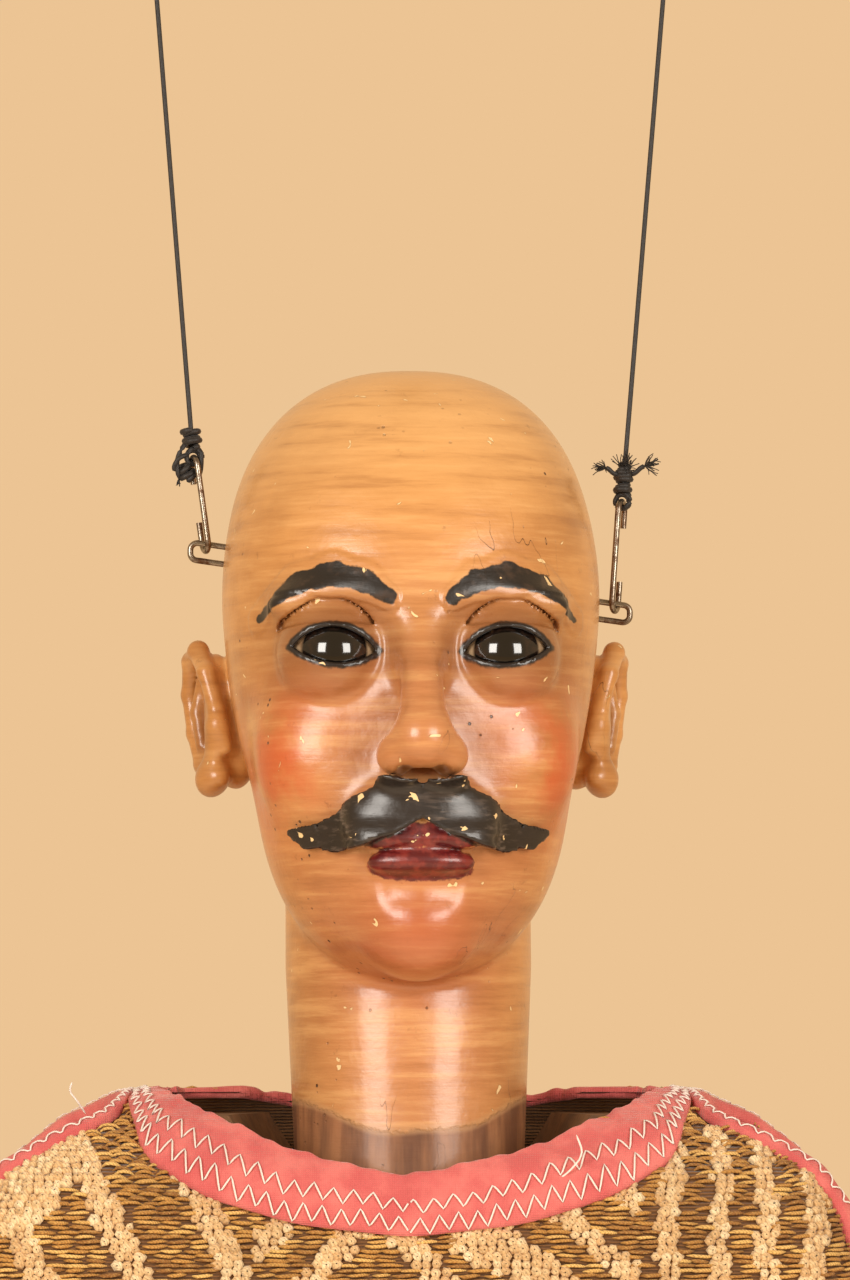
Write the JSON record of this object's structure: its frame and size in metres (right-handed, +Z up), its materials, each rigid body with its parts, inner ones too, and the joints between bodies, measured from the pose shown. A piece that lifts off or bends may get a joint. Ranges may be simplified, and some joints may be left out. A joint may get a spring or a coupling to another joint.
{
  "type": "string puppet",
  "caption": "Carved wooden puppet in a woven tunic, hung by its head strings from a wooden control, with hinged limbs.",
  "frame": {"origin": "centre of the hanging hole in the tab on the control", "axes": "+Z up, the puppet faces -Y, +X to the right of someone who looks at its face"},
  "size_m": [0.176, 0.2018, 0.852],
  "materials": {
    "bare_wood": "satin",
    "dark_wood": "matte",
    "painted_face": "gloss",
    "painted_breeches": "satin",
    "painted_boots": "gloss",
    "black_glass": "gloss",
    "steel_wire": "satin",
    "black_cord": "matte",
    "gold_weave": "matte",
    "pink_cotton": "matte"
  },
  "bodies": {
    "control": {"main_bar": "dark_wood", "hang_tab": "dark_wood", "head_bar": "dark_wood", "head_bar_screws": "steel_wire", "control_eyes": "steel_wire", "rocker_screw": "steel_wire", "rocker_washer": "steel_wire"},
    "leg_rocker": {"rocker_bar": "dark_wood", "rocker_eyes": "steel_wire"},
    "head_strings": {"string_left": "black_cord", "string_right": "black_cord", "string_knots": "black_cord", "hook_left": "steel_wire", "hook_right": "steel_wire"},
    "head": {"head": "painted_face", "eye_left": "black_glass", "eye_right": "black_glass", "temple_staples": "steel_wire", "neck_eye": "steel_wire"},
    "neck_link": {"neck_link": "steel_wire"},
    "chest": {"chest_block": "bare_wood", "socket_staple": "steel_wire", "tunic": "gold_weave", "neckline_binding": "pink_cotton", "armhole_bindings": "pink_cotton", "hem_binding": "pink_cotton", "shoulder_eyes": "steel_wire", "waist_eye": "steel_wire"},
    "waist_link": {"waist_link": "steel_wire"},
    "pelvis": {"pelvis_eye": "steel_wire", "pelvis_block": "bare_wood", "hip_rod": "steel_wire"},
    "shoulder_link_left": {"shoulder_link_left": "steel_wire"},
    "upper_arm_left": {"arm_eye_left": "steel_wire", "upper_arm_left": "bare_wood", "elbow_pin_left": "steel_wire"},
    "forearm_left": {"forearm_left": "bare_wood", "wrist_pin_left": "steel_wire"},
    "hand_left": {"hand_left": "painted_face", "hand_eye_left": "steel_wire"},
    "thigh_left": {"thigh_left": "painted_breeches", "knee_pin_left": "steel_wire", "knee_eye_left": "steel_wire"},
    "shin_left": {"shin_left": "painted_breeches", "ankle_pin_left": "steel_wire"},
    "boot_left": {"boot_left": "painted_boots"},
    "shoulder_link_right": {"shoulder_link_right": "steel_wire"},
    "upper_arm_right": {"arm_eye_right": "steel_wire", "upper_arm_right": "bare_wood", "elbow_pin_right": "steel_wire"},
    "forearm_right": {"forearm_right": "bare_wood", "wrist_pin_right": "steel_wire"},
    "hand_right": {"hand_right": "painted_face", "hand_eye_right": "steel_wire"},
    "thigh_right": {"thigh_right": "painted_breeches", "knee_pin_right": "steel_wire", "knee_eye_right": "steel_wire"},
    "shin_right": {"shin_right": "painted_breeches", "ankle_pin_right": "steel_wire"},
    "boot_right": {"boot_right": "painted_boots"}
  },
  "joints": [
    {"name": "leg_rocker_tilt", "type": "hinge", "parent": "control", "child": "leg_rocker", "pos_m": [0, -0.1, -0.022], "axis": [0, 1, 0], "range_deg": [-35, 35]},
    {"name": "head_strings_swing", "type": "hinge", "parent": "control", "child": "head_strings", "pos_m": [0, -0.0005, -0.045], "axis": [1, 0, 0], "range_deg": [-35, 35]},
    {"name": "head_nod", "type": "hinge", "parent": "head_strings", "child": "head", "pos_m": [0, -0.0005, -0.1978], "axis": [0.9895, 0, -0.1448], "range_deg": [-25, 25]},
    {"name": "neck_turn", "type": "hinge", "parent": "head", "child": "neck_link", "pos_m": [0, 0, -0.328], "axis": [0, 0, 1], "range_deg": [-30, 30]},
    {"name": "neck_bend", "type": "hinge", "parent": "neck_link", "child": "chest", "pos_m": [0, 0, -0.33], "axis": [-1, 0, 0], "range_deg": [-7, 16]},
    {"name": "waist_bend", "type": "hinge", "parent": "chest", "child": "waist_link", "pos_m": [0, 0, -0.4625], "axis": [-1, 0, 0], "range_deg": [-10, 15]},
    {"name": "waist_twist", "type": "hinge", "parent": "waist_link", "child": "pelvis", "pos_m": [0, 0, -0.468], "axis": [0, 0, 1], "range_deg": [-10, 10]},
    {"name": "shoulder_swing_left", "type": "hinge", "parent": "chest", "child": "shoulder_link_left", "pos_m": [-0.0725, 0, -0.3415], "axis": [-1, 0, 0], "range_deg": [-35, 50]},
    {"name": "shoulder_raise_left", "type": "hinge", "parent": "shoulder_link_left", "child": "upper_arm_left", "pos_m": [-0.0725, 0, -0.34785], "axis": [0, 1, 0], "range_deg": [0, 60]},
    {"name": "elbow_left", "type": "hinge", "parent": "upper_arm_left", "child": "forearm_left", "pos_m": [-0.0725, 0, -0.443], "axis": [-1, 0, 0], "range_deg": [0, 78]},
    {"name": "wrist_left", "type": "hinge", "parent": "forearm_left", "child": "hand_left", "pos_m": [-0.0725, 0, -0.533], "axis": [-1, 0, 0], "range_deg": [-30, 30]},
    {"name": "hip_left", "type": "hinge", "parent": "pelvis", "child": "thigh_left", "pos_m": [-0.025, 0, -0.524], "axis": [-1, 0, 0], "range_deg": [-15, 60]},
    {"name": "knee_left", "type": "hinge", "parent": "thigh_left", "child": "shin_left", "pos_m": [-0.025, 0, -0.668], "axis": [1, 0, 0], "range_deg": [0, 75]},
    {"name": "ankle_left", "type": "hinge", "parent": "shin_left", "child": "boot_left", "pos_m": [-0.025, 0, -0.79], "axis": [1, 0, 0], "range_deg": [-18, 18]},
    {"name": "shoulder_swing_right", "type": "hinge", "parent": "chest", "child": "shoulder_link_right", "pos_m": [0.0725, 0, -0.3415], "axis": [-1, 0, 0], "range_deg": [-35, 50]},
    {"name": "shoulder_raise_right", "type": "hinge", "parent": "shoulder_link_right", "child": "upper_arm_right", "pos_m": [0.0725, 0, -0.34785], "axis": [0, -1, 0], "range_deg": [0, 60]},
    {"name": "elbow_right", "type": "hinge", "parent": "upper_arm_right", "child": "forearm_right", "pos_m": [0.0725, 0, -0.443], "axis": [-1, 0, 0], "range_deg": [0, 78]},
    {"name": "wrist_right", "type": "hinge", "parent": "forearm_right", "child": "hand_right", "pos_m": [0.0725, 0, -0.533], "axis": [-1, 0, 0], "range_deg": [-30, 30]},
    {"name": "hip_right", "type": "hinge", "parent": "pelvis", "child": "thigh_right", "pos_m": [0.025, 0, -0.524], "axis": [-1, 0, 0], "range_deg": [-15, 60]},
    {"name": "knee_right", "type": "hinge", "parent": "thigh_right", "child": "shin_right", "pos_m": [0.025, 0, -0.668], "axis": [1, 0, 0], "range_deg": [0, 75]},
    {"name": "ankle_right", "type": "hinge", "parent": "shin_right", "child": "boot_right", "pos_m": [0.025, 0, -0.79], "axis": [1, 0, 0], "range_deg": [-18, 18]}
  ]
}
